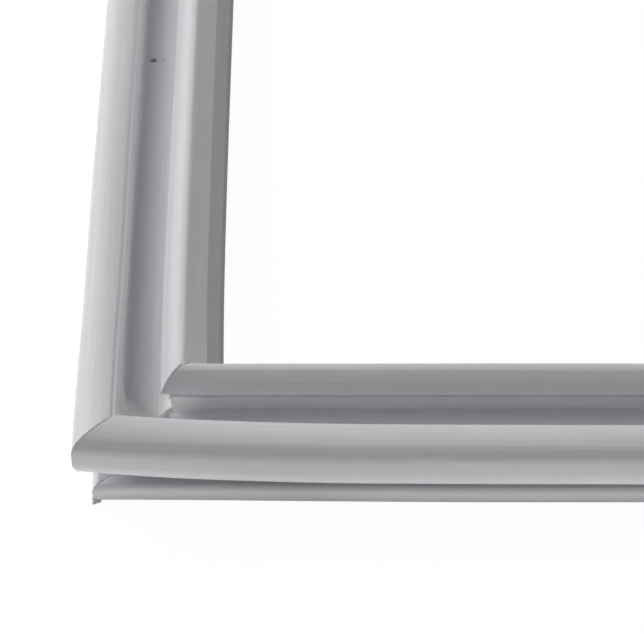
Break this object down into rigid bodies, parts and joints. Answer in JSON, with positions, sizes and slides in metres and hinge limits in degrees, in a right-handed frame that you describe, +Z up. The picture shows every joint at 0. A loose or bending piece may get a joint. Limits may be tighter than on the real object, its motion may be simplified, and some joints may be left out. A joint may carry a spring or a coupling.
{
  "type": "refrigerator door gasket",
  "caption": "Rectangular push-in refrigerator door gasket: a welded soft frame with a mounting dart, curled outer lip and magnet strips in its pocket.",
  "frame": {"origin": "middle of the frame, level with the flat sealing face that it lies on", "axes": "+X along the long sides, +Y along the short sides away from the front, +Z up, from the sealing face towards the mounting dart"},
  "size_m": [0.52, 0.42, 0.0213],
  "materials": {
    "soft_pvc": "satin",
    "bonded_ferrite": "matte"
  },
  "bodies": {
    "root": {"seal_frame": "soft_pvc", "magnet_front": "bonded_ferrite", "magnet_right": "bonded_ferrite", "magnet_back": "bonded_ferrite", "magnet_left": "bonded_ferrite"}
  },
  "joints": []
}
